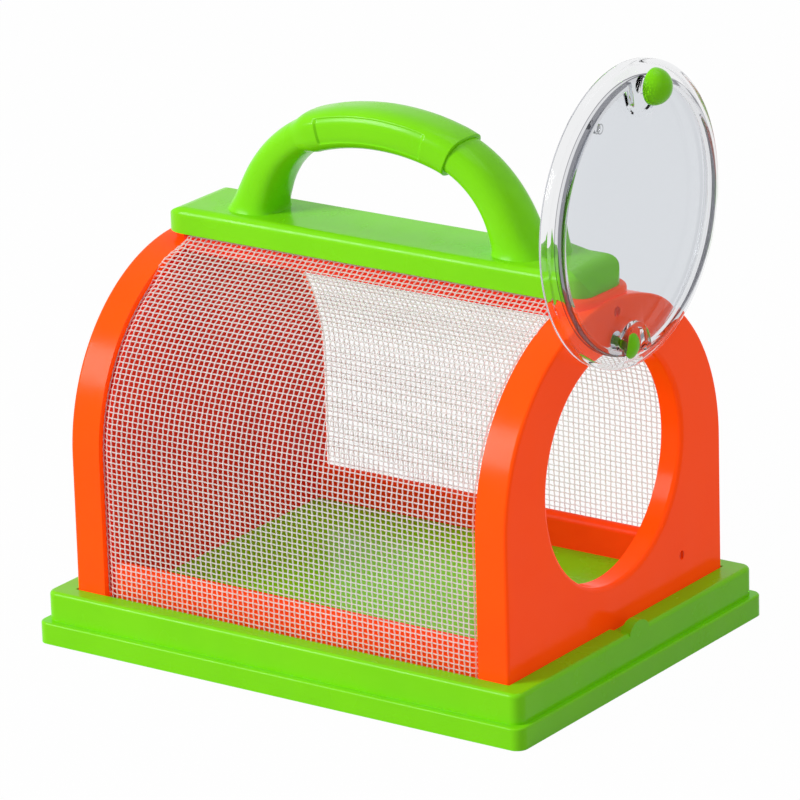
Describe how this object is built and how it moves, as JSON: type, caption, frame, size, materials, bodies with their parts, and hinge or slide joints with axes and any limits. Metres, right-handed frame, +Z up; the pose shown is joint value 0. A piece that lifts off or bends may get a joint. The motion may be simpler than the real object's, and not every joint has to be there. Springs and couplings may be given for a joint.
{
  "type": "insect cage",
  "caption": "Barrel-roofed mesh cage for catching and watching insects, with a tray base, a carrying handle and a swinging clear round door.",
  "frame": {"origin": "middle of the underside of the base tray, on its centre rib, level with the rim it stands on", "axes": "+X towards the end with the round opening and the door, +Y towards the left side, +Z up"},
  "size_m": [0.2076, 0.1512, 0.2132],
  "materials": {
    "lime_plastic": "satin-gloss moulded polypropylene",
    "orange_plastic": "gloss moulded polypropylene",
    "white_net": "woven plastic insect screen",
    "clear_plastic": "clear polished polystyrene",
    "steel": "zinc-plated"
  },
  "bodies": {
    "base": {"base_tray": "lime_plastic"},
    "cage": {"front_arch_panel": "orange_plastic", "rear_arch_panel": "orange_plastic", "front_clamp_hoop": "orange_plastic", "rear_lining": "orange_plastic", "left_sill_rail": "orange_plastic", "right_sill_rail": "orange_plastic", "top_spine": "orange_plastic", "left_net": "white_net", "right_net": "white_net", "handle_plate": "lime_plastic", "handle_bow": "lime_plastic", "handle_grip": "lime_plastic", "bow_screws": "steel", "plate_screws": "steel", "front_panel_screws": "steel", "rear_panel_screws": "steel", "pivot_pin": "lime_plastic"},
    "door": {"door_disc": "clear_plastic", "door_knob": "lime_plastic"}
  },
  "joints": [
    {"name": "cage_lift", "type": "slide", "parent": "base", "child": "cage", "axis": [0, 0, 1], "range_m": [0, 0.04]},
    {"name": "door_swing", "type": "hinge", "parent": "cage", "child": "door", "pos_m": [0.0954, 0, 0.1176], "axis": [1, 0, 0], "continuous": true}
  ]
}
